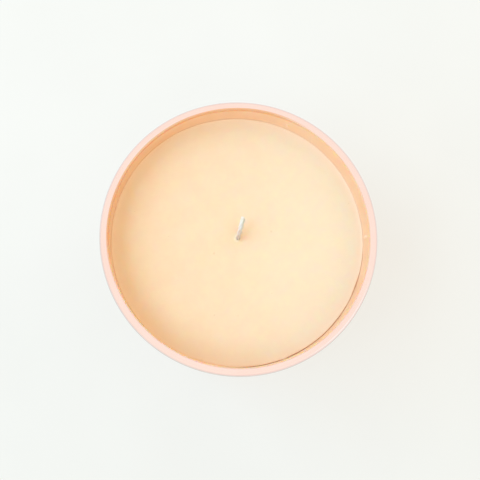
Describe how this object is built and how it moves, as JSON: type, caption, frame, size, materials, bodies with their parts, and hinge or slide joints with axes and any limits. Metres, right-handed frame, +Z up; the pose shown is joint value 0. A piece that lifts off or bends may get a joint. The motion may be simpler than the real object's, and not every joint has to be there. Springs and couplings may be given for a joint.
{
  "type": "candle tin",
  "caption": "Open container candle: cream wax poured in a round drawn tin with a rolled rim, with a leaning braided wick.",
  "frame": {"origin": "centre of the base, on the surface that the tin stands on", "axes": "+Z up through the tin's open top; the wick leans towards +Y; the picture looks down from the -Y side"},
  "size_m": [0.08, 0.08, 0.054],
  "materials": {
    "tin": "satin",
    "wax": "satin",
    "cotton": "matte",
    "tab_steel": "satin",
    "foam": "matte",
    "adhesive": "gloss"
  },
  "bodies": {
    "root": {"tin_body": "tin", "wax_fill": "wax", "sticker_film_bottom": "adhesive", "sticker_foam": "foam", "sticker_film_top": "adhesive", "wick_tab": "tab_steel", "wick_core": "cotton", "wick_yarn_1": "cotton", "wick_yarn_2": "cotton", "wick_yarn_3": "cotton", "wick_yarn_4": "cotton", "wick_yarn_5": "cotton", "wick_yarn_6": "cotton", "wick_yarn_7": "cotton", "wick_yarn_8": "cotton"}
  },
  "joints": []
}
